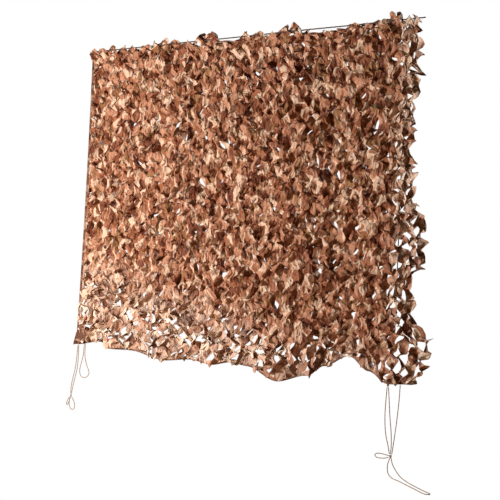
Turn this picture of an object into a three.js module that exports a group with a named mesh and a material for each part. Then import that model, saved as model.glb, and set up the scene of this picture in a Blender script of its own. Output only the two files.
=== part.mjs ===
// Hung camouflage netting: one slit-cut cloth opened into a lattice of twisted leaves, threaded
// on a top rope, bound at its left edge and hem, with a side rope and tie cords at both lower
// corners. Millimetres, +X to the right along the rope, +Y away from the viewer, +Z up. The
// origin is the middle of the top rope.
import * as THREE from 'three';

// Driving sizes.
const netHeight = 1500;
const leftEdge = -970;
const sideRopeAcross = 850;
const clothThickness = 2;
const mainStrips = 23;
const edgeStrips = 3;
const stripCount = mainStrips + edgeStrips;
const topRopeDiameter = 6;
const sideRopeDiameter = 5;
const cordDiameter = 4;
const topRopeEnds = { left: -986, right: 958 };

// Heights of the lattice's bands: a short one holds a bond on every other gap, a tall one a leaf.
const band = { threaded: 40, bond: 32, leaf: 68, hem: 24 };
const pairsOfBands = 14;
const firstBondBand = 2;
const bandsInPattern = 4;
const lastPatternBand = firstBondBand + 2 * pairsOfBands;
const hemBand = lastPatternBand + 1;
const bondClearAboveRope = topRopeDiameter / 2 + 0.9;

// Widths of the gaps between strips, at a bond and at their widest, and how far a leaf bulges.
const gapWidth = { bond: 9, open: 34, openLow: 46 };
const edgeGapShare = 0.5;
const sway = 14;
const leafBulge = 21;
const leafDepth = 21;
const bondedDepthShare = 0.3;
const ropeWeaveDepth = 7.2;

// How high each strip stands above the rope; a negative one hangs below the bare rope.
const topReach = [
  14, 22, 12, 9, 10, 27, 24, 8, 14, 34, -13, -15, 31, 12,
  16, 39, 14, -16, -12, 10, 12, 16, 36, 12, 28, 18,
];

// The hem: how far below the rope it hangs, and how far it stands forward (-) or back (+).
const hem = [
  { across: -1001, drop: 1496, depth: 0 },
  { across: -820, drop: 1470, depth: 0 },
  { across: -755, drop: 1499, depth: -6 },
  { across: -617, drop: 1495, depth: 8 },
  { across: -382, drop: 1520, depth: -14 },
  { across: -224, drop: 1503, depth: 6 },
  { across: -89, drop: 1513, depth: -8 },
  { across: 18, drop: 1493, depth: 10 },
  { across: 117, drop: 1500, depth: 0 },
  { across: 306, drop: 1546, depth: -30 },
  { across: 455, drop: 1508, depth: -8 },
  { across: 526, drop: 1460, depth: 14 },
  { across: 646, drop: 1407, depth: 24 },
  { across: 758, drop: 1458, depth: 4 },
  { across: 857, drop: 1500, depth: -6 },
  { across: 950, drop: 1494, depth: 8 },
  { across: 1050, drop: 1470, depth: 26 },
];

// The free right edge: how far across it reaches at each drop below the rope.
const rightEdge = [
  { drop: -40, across: 944 },
  { drop: 160, across: 956 },
  { drop: 400, across: 938 },
  { drop: 520, across: 930 },
  { drop: 700, across: 950 },
  { drop: 880, across: 1000 },
  { drop: 985, across: 990 },
  { drop: 1105, across: 940 },
  { drop: 1210, across: 966 },
  { drop: 1368, across: 1050 },
  { drop: 1440, across: 1034 },
  { drop: 1500, across: 985 },
];

// Bound edges: tape folded round the cloth.
const tape = { thickness: 1.5, clear: 0.4, grip: 14 };
const selvedgeWidth = 19;
const leftTape = { topDrop: 42, bottomDrop: 1440 };

// The corner patch: its outline across and up, and where its back lies.
const cornerPatch = {
  outline: [[-1018, -1501], [-999, -1436], [-952, -1434], [-876, -1466], [-876, -1473]],
  thickness: 1.6,
  back: -3.2,
};

// The side rope hangs behind the cloth from the top rope to the hem.
const sideRopeRoute = [
  [850, 1.8, -4.6], [850, 26, -14], [850, 38, -50], [850, 41, -300], [851, 42, -750],
  [853, 42, -1150], [855, 38, -1350], [857, 20, -1440], [858, 8.2, -1478],
];

// Knots on the tie cords.
const knots = [
  { name: 'tie_left_knot', at: [-972, -10.2, -1492], radius: 6, height: 8 },
  { name: 'tie_left_end_knot', at: [-1013, -8, -1762], radius: 6.5, height: 8 },
  { name: 'tie_right_knot', at: [866, -15.2, -1504], radius: 7.5, height: 8 },
  { name: 'tie_right_middle_knot', at: [888, -8, -1794], radius: 8, height: 8 },
];

// Tie cords, each along points chosen by hand.
const ties = [
  {
    name: 'tie_left_strand_1',
    steps: 22,
    route: [[-975, -11, -1500.5], [-979, -10, -1540], [-985, -9, -1590], [-993, -8, -1632],
      [-1007, -8, -1680], [-1015, -8, -1720], [-1016, -8, -1753.5]],
  },
  {
    name: 'tie_left_strand_2',
    steps: 22,
    route: [[-968.5, -11, -1500.5], [-969, -10, -1540], [-972, -9, -1590], [-979, -8, -1632],
      [-993, -8, -1680], [-1004, -8, -1720], [-1010.5, -8, -1753.8]],
  },
  {
    name: 'tie_left_loop',
    steps: 34,
    route: [[-930, -1, -1489.8], [-930, -3, -1520], [-927, -5, -1550], [-912, -7, -1590],
      [-895, -8, -1618], [-889, -8, -1635], [-898, -8, -1651], [-920, -8, -1661],
      [-942, -8, -1658], [-955, -8, -1643], [-957, -7, -1618], [-948, -6, -1585],
      [-941, -4, -1550], [-939.5, -2, -1520], [-939.5, -1, -1491]],
  },
  {
    name: 'tie_left_bow_1',
    steps: 26,
    route: [[-1016, -8, -1769.7], [-1023, -8, -1788], [-1024, -8, -1810], [-1014, -8, -1827],
      [-998, -8, -1833], [-985, -8, -1823], [-984, -8, -1804], [-994, -8, -1785],
      [-1008.5, -8, -1769.2]],
  },
  {
    name: 'tie_left_bow_2',
    steps: 20,
    route: [[-1013, -12.5, -1769.5], [-1008, -22, -1780], [-1006, -29, -1796],
      [-1012, -32, -1808], [-1022, -28, -1804], [-1024, -21, -1788], [-1018.5, -13.5, -1768.5]],
  },
  {
    name: 'tie_right_strand_1',
    steps: 26,
    route: [[862.5, -15.5, -1512], [859, -14, -1560], [856, -12, -1630], [861, -10, -1700],
      [875, -8, -1755], [882.5, -8, -1786]],
  },
  {
    name: 'tie_right_strand_2',
    steps: 26,
    route: [[869.5, -16, -1512], [874, -15, -1560], [880, -13, -1630], [889, -12, -1700],
      [891, -11, -1750], [888, -8.5, -1785.3]],
  },
  {
    name: 'tie_right_strand_3',
    steps: 26,
    route: [[914, 1, -1498.8], [913, -1, -1560], [908, -3, -1640], [901, -4, -1710], [896, -6, -1760],
      [893.5, -8, -1786]],
  },
  {
    name: 'tie_right_side_loop',
    steps: 22,
    route: [[880.2, -8, -1793], [862, -8, -1790], [840, -8, -1789], [822, -9, -1791],
      [815, -10, -1798], [822, -11, -1805.5], [842, -12, -1807], [864, -13, -1804],
      [880.5, -13, -1799.5]],
  },
  {
    name: 'tie_right_long_loop',
    steps: 80,
    route: [[885, -5, -1801.4], [877, -6, -1822], [875, -7, -1845], [882, -10, -1866],
      [903, -19, -1877.8], [960, -56, -1878], [1042, -114, -1878], [1110, -162, -1878],
      [1138, -182, -1878], [1156, -189, -1878], [1168, -181, -1878], [1163, -168, -1878],
      [1132, -149, -1878], [1064, -101, -1878], [985, -40, -1877.5], [940, -14, -1868],
      [912, -6, -1846], [897, -7, -1822], [892, -8, -1801.5]],
  },
];

const finish = (color, roughness) =>
  new THREE.MeshStandardMaterial({ color, roughness, metalness: 0 });
const clothFinish = finish(0xa2714f, 0.85);
const tapeFinish = finish(0x6b4a36, 0.85);
const ropeFinish = finish(0x4a3524, 0.9);
const cordFinish = finish(0xc9a27c, 0.9);

const clamp = (x, low, high) => Math.min(high, Math.max(low, x));
const smooth = (x) => clamp(x, 0, 1) ** 2 * (3 - 2 * clamp(x, 0, 1));
const mix = (a, b, t) => a + (b - a) * t;

// A fixed scatter from -1 to 1 for whole numbers a, b and c.
function scatter(a, b, c) {
  const wave = Math.sin(a * 12.9898 + b * 78.233 + c * 37.719) * 43758.5453;
  return 2 * (wave - Math.floor(wave)) - 1;
}

// Reads one column of a table at a place, eased between its rows.
function readTable(table, place, column, at) {
  const last = table.length - 1;
  let i = 0;
  while (i < last - 1 && table[i + 1][place] < at) i += 1;
  const t = (at - table[i][place]) / (table[i + 1][place] - table[i][place]);
  return mix(table[i][column], table[i + 1][column], smooth(t));
}

// Nominal drop of each row of the lattice below the rope, before the hem's swags.
function rowDrops() {
  const drops = [-20, -bondClearAboveRope, band.threaded];
  for (let b = firstBondBand; b <= lastPatternBand; b += 1) {
    drops.push(drops[b] + (b % 2 === 0 ? band.bond : band.leaf));
  }
  const scale = (netHeight - band.hem - band.threaded) / (drops.at(-1) - band.threaded);
  for (let r = firstBondBand + 1; r < drops.length; r += 1) {
    drops[r] = band.threaded + (drops[r] - band.threaded) * scale;
  }
  drops.push(netHeight);
  return drops;
}
const drops = rowDrops();
const lastRow = drops.length - 1;

// Where the line between strip k - 1 and strip k hangs at a drop, left to right.
function columnLine(k, drop) {
  const lean = -31 * clamp(drop / netHeight, 0, 1) ** 2;
  if (k <= mainStrips) return mix(leftEdge + lean, sideRopeAcross, k / mainStrips);
  const out = readTable(rightEdge, 'drop', 'across', drop);
  return mix(sideRopeAcross, out, (k - mainStrips) / edgeStrips);
}

// The hung cloth's middle surface: real height and depth for a place across and a nominal drop.
function hungHeight(across, drop) {
  const fall = clamp(drop / netHeight, 0, 1);
  const swag = readTable(hem, 'across', 'drop', clamp(across, hem[0].across, 1050)) - netHeight;
  return -drop - swag * fall ** 5;
}
function hungDepth(across, drop) {
  const fall = clamp(drop / netHeight, 0, 1);
  const low = readTable(hem, 'across', 'depth', clamp(across, hem[0].across, 1050));
  const boundSide = smooth((across - leftEdge - 40) / 160);
  const ropeSide = smooth(drop / 220);
  const waves = 7 * Math.sin(across / 97 + drop / 410) + 6 * Math.sin(across / 53 - drop / 260);
  const body = waves * boundSide * ropeSide * (1 - smooth((drop - 1250) / 230));
  const curl = 26 * smooth((across - sideRopeAcross) / 130) * ropeSide * (1 - fall ** 8);
  return body + curl + low * fall ** 3;
}

// Which band of its four-band pattern gap j is in: 0 is its bond, 1 and 3 carry leaves.
const gapPhase = (j, b) => (b - firstBondBand - 2 * (j % 2) + 4 * bandsInPattern) % bandsInPattern;
const hangsLow = (j) => topReach[j] < 0;

function gapIsBonded(j, b) {
  if (b === 0) return hangsLow(j) === hangsLow(j + 1);
  if (b === hemBand) return true;
  return b >= firstBondBand && gapPhase(j, b) === 0;
}

// A row is at a bond of gap j where it is the top or bottom of a bonded band.
const rowIsBonded = (j, r) =>
  gapIsBonded(j, Math.max(0, r - 1)) || gapIsBonded(j, Math.min(r, hemBand));

function gapAt(j, r) {
  if (rowIsBonded(j, r)) return gapWidth.bond;
  const low = smooth((drops[r] - 1120) / 200);
  const pitch = columnLine(j + 2, drops[r]) - columnLine(j + 1, drops[r]);
  const open = Math.min(mix(gapWidth.open, gapWidth.openLow, low), edgeGapShare * pitch);
  return open * (1 + 0.22 * scatter(j, r, 1));
}

// Height of a row on strip j, with the strips' tops standing over or hanging below the rope.
function rowHeight(j, r, across) {
  if (r === 0) return hangsLow(j) ? topReach[j] : topReach[j] + 4 * scatter(j, 0, 9);
  if (r === 1) return hangsLow(j) ? topReach[j] - 11 : bondClearAboveRope;
  const free = 7 * scatter(j, r, 2) * smooth((drops[r] - 60) / 60);
  return hungHeight(across, drops[r]) + free;
}

// Strips pass the rope in front and behind by turns.
const weaveSide = (j) => (j % 2 === 0 ? -1 : 1);

// How far the line between two strips sways aside on a row.
function swayOf(gapColumn, r, pitch) {
  const drift = sway * Math.sin(1.3 * r + 0.7 * gapColumn + 2 * Math.sin(0.5 * gapColumn));
  return (drift + 4 * scatter(gapColumn, r, 3)) * Math.min(1, pitch / 80);
}

// One edge point of strip j on row r; side is -1 for its left edge and 1 for its right one.
function edgePoint(j, r, side) {
  const gapColumn = side < 0 ? j - 1 : j;
  const atLeft = gapColumn < 0;
  const atRight = gapColumn === stripCount - 1;
  const inHem = r >= lastRow - 1;
  const drop = inHem ? netHeight : drops[r];
  const line = columnLine(gapColumn + 1, drop);
  let x = line;
  if (atLeft) x += tape.thickness + tape.clear + selvedgeWidth;
  else if (!atRight) x -= (side * gapAt(gapColumn, r)) / 2;
  if (atRight && !inHem) x += 9 * scatter(j, r, 4) - 5;
  if (!atLeft && !atRight && !inHem) {
    x += swayOf(gapColumn, r, line - columnLine(gapColumn, drop));
  }
  const y = hungDepth(x, drop);
  if (inHem) {
    const rise = r === lastRow ? 0 : band.hem;
    return new THREE.Vector3(x, y, hungHeight(x, netHeight) + rise);
  }
  const z = rowHeight(j, r, x);
  if (atLeft && r > 1) return new THREE.Vector3(x, 0, z);
  if (r <= 1) return new THREE.Vector3(x, weaveSide(j) * ropeWeaveDepth, z);
  if (r === 2) return new THREE.Vector3(x, weaveSide(j) * (ropeWeaveDepth + 2), z);
  const turn = leafDepth * (0.75 + 0.45 * scatter(j, Math.floor(r / 2), 5));
  const bonded = !atRight && rowIsBonded(gapColumn, r);
  return new THREE.Vector3(x, y + side * turn * (bonded ? bondedDepthShare : 1), z);
}

// A leaf's widest point, halfway down a tall band, standing out of the hung surface.
function leafPoint(j, b, side) {
  const top = edgePoint(j, b, side);
  const bottom = edgePoint(j, b + 1, side);
  const point = top.clone().lerp(bottom, 0.5 + 0.14 * scatter(j, b, 6 + side));
  if (j === 0 && side < 0) return point;
  const flip = scatter(j, b, 7) > -0.35 ? 1 : -1;
  point.x += side * leafBulge * (0.8 + 0.3 * scatter(j, b, 8 + side));
  point.y += side * flip * leafDepth * 0.9;
  return point;
}

// Turns a single-layer surface into a closed sheet: both faces, and a wall along every free edge.
function thicken(points, triangles, thickness) {
  const normals = points.map(() => new THREE.Vector3());
  const edgeUses = new Map();
  for (const [a, b, c] of triangles) {
    const ab = points[b].clone().sub(points[a]);
    const ac = points[c].clone().sub(points[a]);
    const n = ab.cross(ac);
    for (const i of [a, b, c]) normals[i].add(n);
    for (const [i, k] of [[a, b], [b, c], [c, a]]) {
      const key = i < k ? `${i}_${k}` : `${k}_${i}`;
      edgeUses.set(key, edgeUses.has(key) ? null : [i, k]);
    }
  }
  const position = [];
  points.forEach((p, i) => {
    const n = normals[i].normalize().multiplyScalar(thickness / 2);
    position.push(p.x + n.x, p.y + n.y, p.z + n.z);
  });
  points.forEach((p, i) => {
    const n = normals[i];
    position.push(p.x - n.x, p.y - n.y, p.z - n.z);
  });
  const back = points.length;
  const index = [];
  for (const [a, b, c] of triangles) index.push(a, b, c, a + back, c + back, b + back);
  for (const use of edgeUses.values()) {
    if (use) {
      const [i, k] = use;
      index.push(i, i + back, k + back, i, k + back, k);
    }
  }
  const geometry = new THREE.BufferGeometry();
  geometry.setAttribute('position', new THREE.Float32BufferAttribute(position, 3));
  geometry.setIndex(index);
  return geometry;
}

// The slit-cut cloth as a lattice of strips, leaves and bonds. The uncut selvedge runs down
// beside the first strip, flat in its tape.
function latticeSheet() {
  const points = [];
  const triangles = [];
  const add = (p) => points.push(p) - 1;
  const quad = (a, b, c, d) => {
    const first = points[a].distanceTo(points[c]) < points[b].distanceTo(points[d]);
    triangles.push(...(first ? [[a, c, b], [a, d, c]] : [[a, d, b], [b, d, c]]));
  };
  const selvedgeBeside = (point) => add(point.clone().setX(point.x - selvedgeWidth));
  const stop = (j, r, left, right) => ({
    left: add(left),
    right: add(right),
    selvedge: j === 0 && r >= firstBondBand ? selvedgeBeside(left) : null,
  });
  const rows = [];
  for (let j = 0; j < stripCount; j += 1) {
    rows.push([]);
    for (let r = 0; r <= lastRow; r += 1) {
      rows[j].push(stop(j, r, edgePoint(j, r, -1), edgePoint(j, r, 1)));
    }
  }
  const join = (up, down) => {
    quad(up.left, up.right, down.right, down.left);
    if (up.selvedge !== null) quad(up.selvedge, up.left, down.left, down.selvedge);
  };
  for (let j = 0; j < stripCount; j += 1) {
    for (let b = 0; b < lastRow; b += 1) {
      const [up, down] = [rows[j][b], rows[j][b + 1]];
      if (b > firstBondBand && b < hemBand && gapPhase(j, b) === 1) {
        const middle = stop(j, b, leafPoint(j, b, -1), leafPoint(j, b, 1));
        join(up, middle);
        join(middle, down);
      } else {
        join(up, down);
      }
      if (j + 1 < stripCount && gapIsBonded(j, b)) {
        const next = rows[j + 1];
        quad(up.right, next[b].left, next[b + 1].left, down.right);
      }
    }
  }
  return { geometry: thicken(points, triangles, clothThickness), points, rows };
}

// Tape folded round an edge: a U section carried along the edge points. Each stop has the edge
// point and the way back into the cloth.
function foldedTape(stops) {
  const inner = clothThickness / 2 + tape.clear;
  const outer = inner + tape.thickness;
  const fold = -tape.clear - tape.thickness;
  const section = [
    [tape.grip, outer], [fold, outer], [fold, -outer], [tape.grip, -outer],
    [tape.grip, -inner], [-tape.clear, -inner], [-tape.clear, inner], [tape.grip, inner],
  ];
  const sides = section.length;
  const position = [];
  stops.forEach(({ edge, into }, i) => {
    const before = stops[Math.max(0, i - 1)].edge;
    const after = stops[Math.min(stops.length - 1, i + 1)].edge;
    const out = after.clone().sub(before).cross(into).normalize();
    for (const [along, off] of section) {
      const p = edge.clone().addScaledVector(into, along).addScaledVector(out, off);
      position.push(p.x, p.y, p.z);
    }
  });
  const index = [];
  for (let s = 0; s + 1 < stops.length; s += 1) {
    for (let i = 0; i < sides; i += 1) {
      const a = s * sides + i;
      const b = s * sides + ((i + 1) % sides);
      index.push(a, b, b + sides, a, b + sides, a + sides);
    }
  }
  const capQuads = [[0, 1, 6, 7], [1, 2, 5, 6], [2, 3, 4, 5]];
  const end = (stops.length - 1) * sides;
  for (const [a, b, c, d] of capQuads) {
    index.push(a, c, b, a, d, c);
    index.push(end + a, end + b, end + c, end + a, end + c, end + d);
  }
  const geometry = new THREE.BufferGeometry();
  geometry.setAttribute('position', new THREE.Float32BufferAttribute(position, 3));
  geometry.setIndex(index);
  return geometry;
}

function hemTape(sheet) {
  const stops = [];
  for (let j = 0; j < stripCount; j += 1) {
    const here = sheet.rows[j][lastRow];
    const above = sheet.rows[j][lastRow - 1];
    for (const side of j === 0 ? ['selvedge', 'left', 'right'] : ['left', 'right']) {
      const edge = sheet.points[here[side]];
      const into = sheet.points[above[side]].clone().sub(edge).normalize();
      stops.push({ edge, into });
    }
  }
  return foldedTape(stops);
}

function leftTapeGeometry() {
  const { topDrop, bottomDrop } = leftTape;
  const between = drops.filter((drop) => drop > topDrop && drop < bottomDrop).reverse();
  const stops = [bottomDrop, ...between, topDrop].map((drop) => {
    const line = columnLine(0, drop);
    const edge = new THREE.Vector3(line + tape.thickness + tape.clear, 0, hungHeight(line, drop));
    return { edge, into: new THREE.Vector3(1, 0, 0) };
  });
  return foldedTape(stops);
}

// A round cord along hand-placed points.
function cordGeometry(route, diameter, steps) {
  const curve = new THREE.CatmullRomCurve3(route.map((p) => new THREE.Vector3(...p)), false);
  const section = new THREE.Shape().absarc(0, 0, diameter / 2, 0, 2 * Math.PI, false);
  return new THREE.ExtrudeGeometry(section, {
    steps,
    curveSegments: 4,
    bevelEnabled: false,
    extrudePath: curve,
  });
}

// A small pulled-tight knot: a squashed ball with the lie of the cord pressed into it.
function knotGeometry(radius, height) {
  const geometry = new THREE.SphereGeometry(1, 10, 8);
  const position = geometry.attributes.position;
  for (let i = 0; i < position.count; i += 1) {
    const [x, y, z] = [position.getX(i), position.getY(i), position.getZ(i)];
    const turn = Math.atan2(z, x);
    const press = 1 - 0.12 * (1 - y * y) * Math.cos(2 * turn + 4 * y) ** 2;
    position.setXYZ(i, radius * press * x, radius * press * z, height * y);
  }
  geometry.index.array.reverse();
  return geometry;
}

// A flat corner patch of tape cloth, laid on the front of the lower left corner.
function patchGeometry() {
  const outline = new THREE.Shape(cornerPatch.outline.map((p) => new THREE.Vector2(...p)));
  const geometry = new THREE.ExtrudeGeometry(outline, {
    depth: cornerPatch.thickness,
    bevelEnabled: false,
  });
  return geometry.rotateX(Math.PI / 2).translate(0, cornerPatch.back, 0);
}

const net = new THREE.Group();
function place(name, geometry, material, x = 0, y = 0, z = 0) {
  const mesh = new THREE.Mesh(geometry, material);
  mesh.name = name;
  mesh.position.set(x, y, z);
  net.add(mesh);
}

const sheet = latticeSheet();
place('camouflage_sheet', sheet.geometry, clothFinish);
place('hem_binding', hemTape(sheet), tapeFinish);
place('left_binding', leftTapeGeometry(), tapeFinish);
place('corner_patch', patchGeometry(), tapeFinish);
place('top_rope', cordGeometry(
  [[topRopeEnds.left, 0, 0], [0, 0, 0], [topRopeEnds.right, 0, 0]], topRopeDiameter, 12,
), ropeFinish);
place('side_rope', cordGeometry(sideRopeRoute, sideRopeDiameter, 30), ropeFinish);
for (const { name, at, radius, height } of knots) {
  place(name, knotGeometry(radius, height), cordFinish, ...at);
}
for (const { name, steps, route } of ties) {
  place(name, cordGeometry(route, cordDiameter, steps), cordFinish);
}

export default net;
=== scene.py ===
"""Dresses a hung camouflage net: the printed, slit-cut cloth at its real pitch, its folded
bindings with their stitches, the laid ropes and the tie cords with their knots. Metres, in the
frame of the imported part: +X along the top rope, +Y to the back, +Z up."""
import math

import bpy
import numpy as np
from mathutils import Matrix, Vector


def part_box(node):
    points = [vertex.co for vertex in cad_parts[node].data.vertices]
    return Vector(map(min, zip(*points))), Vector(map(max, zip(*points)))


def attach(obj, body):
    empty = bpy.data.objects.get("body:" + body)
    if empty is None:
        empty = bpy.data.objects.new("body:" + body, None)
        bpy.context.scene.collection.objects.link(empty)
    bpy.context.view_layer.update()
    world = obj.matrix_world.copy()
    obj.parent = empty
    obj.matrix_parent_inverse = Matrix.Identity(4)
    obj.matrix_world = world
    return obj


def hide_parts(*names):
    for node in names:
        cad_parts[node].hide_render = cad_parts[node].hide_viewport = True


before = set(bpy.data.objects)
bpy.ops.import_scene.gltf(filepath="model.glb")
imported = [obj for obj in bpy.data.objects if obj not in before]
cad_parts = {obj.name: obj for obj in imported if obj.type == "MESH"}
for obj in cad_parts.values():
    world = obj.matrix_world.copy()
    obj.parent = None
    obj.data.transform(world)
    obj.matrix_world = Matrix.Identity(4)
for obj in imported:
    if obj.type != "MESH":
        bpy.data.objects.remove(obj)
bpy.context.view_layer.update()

bl_info = {
    "name": "Camouflage Net Dresser",
    "version": (1, 0, 0),
    "blender": (4, 5, 0),
    "location": "View3D > Sidebar > Net",
    "description": "Builds the cloth, bindings, ropes and ties of a hung camouflage net",
    "category": "Object",
}

MM = 0.001

# The hem below the rope: across, drop, and how far it stands forward (-) or back (+), in mm.
HEM = np.array([
    (-1001, 1496, 0), (-820, 1470, 0), (-755, 1499, -6), (-617, 1495, 8), (-382, 1520, -14),
    (-224, 1503, 6), (-89, 1513, -8), (18, 1493, 10), (117, 1500, 0), (306, 1546, -30),
    (455, 1508, -8), (526, 1460, 14), (646, 1407, 24), (758, 1458, 4), (857, 1500, -6),
    (950, 1494, 8), (1050, 1470, 26),
], float) * MM

# The free right edge: drop below the rope and how far across it reaches, in mm.
RIGHT_EDGE = np.array([
    (-40, 944), (160, 956), (400, 938), (520, 930), (700, 950), (880, 1000), (985, 990),
    (1105, 940), (1210, 966), (1368, 1050), (1440, 1034), (1500, 985),
], float) * MM

# How high the cloth stands above the rope, left to right, in mm; negative hangs below it.
TOP_REACH = np.array([
    14, 22, 12, 9, 10, 27, 24, 8, 14, 34, -13, -15, 31, 12, 16, 39, 14, -16, -12, 10, 12, 16,
    36, 12, 28, 18,
], float) * MM

SIDE_TOPS = 3  # how many of them are beyond the side rope

# Tie cords in mm, as they hang from the knots: name, route.
TIES = {
    "tie_left_strand_1": [
        (-975, -11, -1500.5), (-979, -10, -1540), (-985, -9, -1590), (-993, -8, -1632),
        (-1007, -8, -1680), (-1015, -8, -1720), (-1016, -8, -1753.5)],
    "tie_left_strand_2": [
        (-968.5, -11, -1500.5), (-969, -10, -1540), (-972, -9, -1590), (-979, -8, -1632),
        (-993, -8, -1680), (-1004, -8, -1720), (-1010.5, -8, -1753.8)],
    "tie_left_loop": [
        (-930, -1, -1489.8), (-930, -3, -1520), (-927, -5, -1550), (-912, -7, -1590),
        (-895, -8, -1618), (-889, -8, -1635), (-898, -8, -1651), (-920, -8, -1661),
        (-942, -8, -1658), (-955, -8, -1643), (-957, -7, -1618), (-948, -6, -1585),
        (-941, -4, -1550), (-939.5, -2, -1520), (-939.5, -1, -1491)],
    "tie_left_bow_1": [
        (-1016, -8, -1769.7), (-1023, -8, -1788), (-1024, -8, -1810), (-1014, -8, -1827),
        (-998, -8, -1833), (-985, -8, -1823), (-984, -8, -1804), (-994, -8, -1785),
        (-1008.5, -8, -1769.2)],
    "tie_left_bow_2": [
        (-1013, -12.5, -1769.5), (-1008, -22, -1780), (-1006, -29, -1796), (-1012, -32, -1808),
        (-1022, -28, -1804), (-1024, -21, -1788), (-1018.5, -13.5, -1768.5)],
    "tie_right_strand_1": [
        (862.5, -15.5, -1512), (859, -14, -1560), (856, -12, -1630), (861, -10, -1700),
        (875, -8, -1755), (882.5, -8, -1786)],
    "tie_right_strand_2": [
        (869.5, -16, -1512), (874, -15, -1560), (880, -13, -1630), (889, -12, -1700),
        (891, -11, -1750), (888, -8.5, -1785.3)],
    "tie_right_strand_3": [
        (914, 1, -1498.8), (913, -1, -1560), (908, -3, -1640), (901, -4, -1710), (896, -6, -1760),
        (893.5, -8, -1786)],
    "tie_right_side_loop": [
        (880.2, -8, -1793), (862, -8, -1790), (840, -8, -1789), (822, -9, -1791),
        (815, -10, -1798), (822, -11, -1805.5), (842, -12, -1807), (864, -13, -1804),
        (880.5, -13, -1799.5)],
    "tie_right_long_loop": [
        (885, -5, -1801.4), (877, -6, -1822), (875, -7, -1845), (882, -10, -1866),
        (903, -19, -1877.8), (960, -56, -1878), (1042, -114, -1878), (1110, -162, -1878),
        (1138, -182, -1878), (1156, -189, -1878), (1168, -181, -1878), (1163, -168, -1878),
        (1132, -149, -1878), (1064, -101, -1878), (985, -40, -1877.5), (940, -14, -1868),
        (912, -6, -1846), (897, -7, -1822), (892, -8, -1801.5)],
}
# The knots, each with the tie whose free end it is on.
KNOTS = {"tie_left_knot": None, "tie_left_end_knot": "tie_left_strand_1",
         "tie_right_knot": None, "tie_right_middle_knot": "tie_right_strand_1"}
# Outline of the corner patch in mm: across and up.
PATCH = [(-1018, -1501), (-999, -1436), (-952, -1434), (-876, -1466), (-876, -1473)]
# Route of the side rope in mm.
SIDE_ROPE = [
    (850, 1.8, -4.6), (850, 26, -14), (850, 38, -50), (850, 41, -300), (851, 42, -750),
    (853, 42, -1150), (855, 38, -1350), (857, 20, -1440), (858, 8.2, -1478)]

# A leaf's settings in the dense field, and where the net hangs loose: low down and at the side.
LEAF = {
    "spread": (48, 66),  # how far leaves turn to either side of their mean, in degrees
    "fold": (1, 1.8),  # how far flaps bend at most, in flap bends
    "back": (0.3, -0.5),  # how far all of them bend to one side, in the same
    "inner": (0.25, 0.5),  # share of a flap's bend that the cloth beside it takes
    "zigzag": (0.30, 0.34),  # how far a strip leans to its bonds, in strip pitches
    "swing": (0.20, 0.20),  # how far it swings in depth as it leans, in strip widths
    "skew": (0.55, 0.8),  # slope of the leaves that slant up or down
    "droop": (0.25, 0.25),  # slope of their tips
    "across": (0.008, 0.012),  # how far leaves stray across, in depth and up, in metres
    "depth": (0.010, 0.010),
    "up": (0.009, 0.014),
}
# Mean turn of the leaves in degrees, and what the low band and the free side add to it.
MEAN_TURN, LOW_TURN, SIDE_TURN = 36, -40, -24
# What the low band adds: to the spread of turns in degrees, and to slit swings and leaf width.
LOW_SPREAD, LOW_FLARE, LOW_WIDENING = 30, 1.8, 0.12
# Finer turns along a leaf: degrees, and how much oftener they change.
TWIST, TWIST_RATE = 12, 2.6
# Seeds of the fixed scatters, one for each thing that differs from leaf to leaf.
# The fade seed scatters the painted light from leaf to leaf.
SEEDS = {
    "slit size": 21, "slit tip": 22, "slit side": 23, "slit shift": 61, "turn": 31, "twist": 38,
    "skew": 32, "left flap": 33, "right flap": 34, "across": 35, "depth": 36, "up": 37,
    "top": 41, "hem tip": 51, "fade": 52, "bond": (71, 72, 73),
}
# Bands low on the cloth, in metres: the drop at which one starts at the left edge, how much
# lower it starts per metre across, its soft depth, and what is left of it at the right and over
# how much width it lessens.
LOW_BAND = (1.09, 0.15, 0.13, 0.42, 0.6)
# The second band is painted light: the print is painted paler there, standing in for brighter light
# low on the cloth.
PAINTED_LIGHT_BAND = (0.96, 0.20, 0.24, 0.7, 0.4)
# Waves over the cloth in mm: size, and how far across and down a radian takes.
WAVES = ((7, 97, 410), (6, 53, -260))

ACROSS = 5  # mesh points across a strip: its edges, its middle and the folds of its flaps
TOP_ROWS = 3.5  # rows of the mesh above the rope's line
GATHERED = 0.024  # drop at which the strips' gathered tops end
ROPE_CLEAR = 0.0085  # how far the cloth passes from the rope's middle
BARE_DROP = 0.010  # how far below the bare rope the strips start there
TAPE_HIDDEN = 0.020  # how far inside the left edge the lattice starts
SELVEDGE = 0.018  # width of the plain selvedge in the left tape
SELVEDGE_TOP = 0.04  # drop at which it starts
HEM_LIP = 0.026  # height above the hem up to which strips are joined and tips hang out
BOND_FADE = 0.011  # how far from a bond the cloth is free to bend
UNCUT = 0.02  # distance from a cut edge that is given to cloth with none near it


def length_of(name, description, default):
    """A length in metres that the panel shows."""
    return bpy.props.FloatProperty(
        name=name, description=description, default=default, unit="LENGTH")


def dye_of(name, description, default):
    """A colour that the panel shows."""
    return bpy.props.FloatVectorProperty(
        name=name, description=description, default=default, subtype="COLOR", size=3)


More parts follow.
